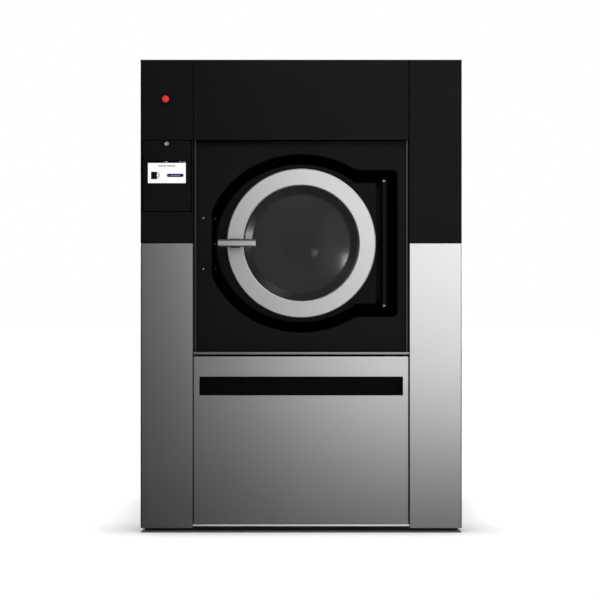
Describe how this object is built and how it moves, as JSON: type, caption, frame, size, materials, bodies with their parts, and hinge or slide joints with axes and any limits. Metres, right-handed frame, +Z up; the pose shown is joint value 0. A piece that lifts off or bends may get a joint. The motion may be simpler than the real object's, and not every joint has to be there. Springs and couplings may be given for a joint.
{
  "type": "washer-extractor",
  "caption": "Tall front-loading industrial washer-extractor with a round glass door, black upper and brushed lower front, side display column and a floating drum group.",
  "frame": {"origin": "middle of the overall box, on the floor", "axes": "+Z up, the door faces -Y, +X to the right seen from the front"},
  "size_m": [1.31, 1.463, 1.926],
  "materials": {
    "black_paint": "satin black powder coat",
    "brushed_steel": "brushed stainless sheet",
    "bright_steel": "fine satin stainless",
    "galvanised": "zinc-coated sheet",
    "frame_paint": "dark grey frame paint",
    "casting": "machined casting",
    "tub_steel": "pickled stainless",
    "rubber": "black rubber",
    "door_glass": "thick dark-tinted glass",
    "screen": "lit touch display",
    "black_plastic": "moulded black plastic",
    "grey_plastic": "moulded grey plastic",
    "red_plastic": "red moulded plastic",
    "motor_paint": "blue-grey motor paint"
  },
  "bodies": {
    "cabinet": {"base_frame": "frame_paint", "cabinet_frame": "frame_paint", "left_column_upper": "black_paint", "left_column_lower": "brushed_steel", "right_column_upper": "black_paint", "right_column_lower": "brushed_steel", "header_panel": "black_paint", "front_panel": "black_paint", "front_trims": "bright_steel", "lower_panel": "brushed_steel", "grip_channel": "black_paint", "left_side_panel": "brushed_steel", "right_side_panel": "brushed_steel", "top_cover": "brushed_steel", "rear_panel": "galvanised", "rear_service_cover": "galvanised", "electrical_box": "galvanised", "estop_body": "black_plastic", "hatch_hinge": "bright_steel", "damper_cylinders": "frame_paint", "water_inlet": "black_plastic", "vent_outlet": "grey_plastic", "drain_valve": "grey_plastic", "cable_gland": "grey_plastic", "panel_screws": "bright_steel", "air_springs": "rubber", "drain_hose": "rubber", "upper_hoses": "rubber"},
    "tub_group": {"tub_shell": "tub_steel", "tub_front": "frame_paint", "tub_cradle": "frame_paint", "mouth_seal": "rubber", "hinge_brackets": "black_paint", "hinge_pins": "bright_steel", "lock_housing": "casting", "lock_plate": "black_paint", "bearing_housing": "casting", "drum_bearings": "bright_steel", "shaft_seal": "rubber", "motor": "motor_paint", "motor_mount": "frame_paint", "drive_belt": "rubber", "damper_rods": "bright_steel"},
    "drum": {"drum_shell": "bright_steel", "drum_lifters": "bright_steel", "drum_spider": "casting", "drum_pulley": "casting"},
    "motor_rotor": {"motor_pulley": "casting"},
    "door": {"door_plate": "black_paint", "door_ring": "bright_steel", "door_glass": "door_glass", "glass_gasket": "rubber", "handle_bracket": "black_paint"},
    "handle": {"door_handle": "bright_steel"},
    "bolt": {"lock_bolt": "bright_steel"},
    "stop_button": {"estop_button": "red_plastic"},
    "hatch": {"control_hatch": "black_paint", "display_glass": "screen", "display_housing": "black_plastic"},
    "hatch_key": {"hatch_lock": "bright_steel"}
  },
  "joints": [
    {"name": "suspension", "type": "slide", "parent": "cabinet", "child": "tub_group", "axis": [0, 0, 1], "range_m": [-0.02, 0.02], "stiffness_N_per_m": 160000, "springref_m": 0.04511, "deforming": ["air_springs", "drain_hose", "upper_hoses"]},
    {"name": "door_hinge", "type": "hinge", "parent": "tub_group", "child": "door", "pos_m": [0.338, -0.6535, 1.178], "axis": [0, 0, 1], "range_deg": [0, 125]},
    {"name": "handle_pull", "type": "hinge", "parent": "door", "child": "handle", "pos_m": [-0.27, -0.696, 1.178], "axis": [0, 0, -1], "range_deg": [0, 20], "stiffness_Nm_per_rad": 1.5},
    {"name": "bolt_slide", "type": "slide", "parent": "tub_group", "child": "bolt", "axis": [1, 0, 0], "range_m": [0, 0.014]},
    {"name": "drum_spin", "type": "hinge", "parent": "tub_group", "child": "drum", "pos_m": [0, 0, 1.178], "axis": [0, 1, 0], "continuous": true},
    {"name": "motor_spin", "type": "hinge", "parent": "tub_group", "child": "motor_rotor", "pos_m": [0, 0.54, 0.506], "axis": [0, 1, 0], "continuous": true},
    {"name": "stop_push", "type": "slide", "parent": "cabinet", "child": "stop_button", "axis": [0, 1, 0], "range_m": [0, 0.006], "stiffness_N_per_m": 900},
    {"name": "hatch_swing", "type": "hinge", "parent": "cabinet", "child": "hatch", "pos_m": [-0.54625, -0.6675, 1.315], "axis": [1, 0, 0], "range_deg": [0, 75]},
    {"name": "key_turn", "type": "hinge", "parent": "hatch", "child": "hatch_key", "pos_m": [-0.548, -0.6785, 1.583], "axis": [0, 1, 0], "range_deg": [0, 90]}
  ],
  "couplings": [
    {"joint": "motor_spin", "follows": "drum_spin", "ratio": 4.1667}
  ]
}
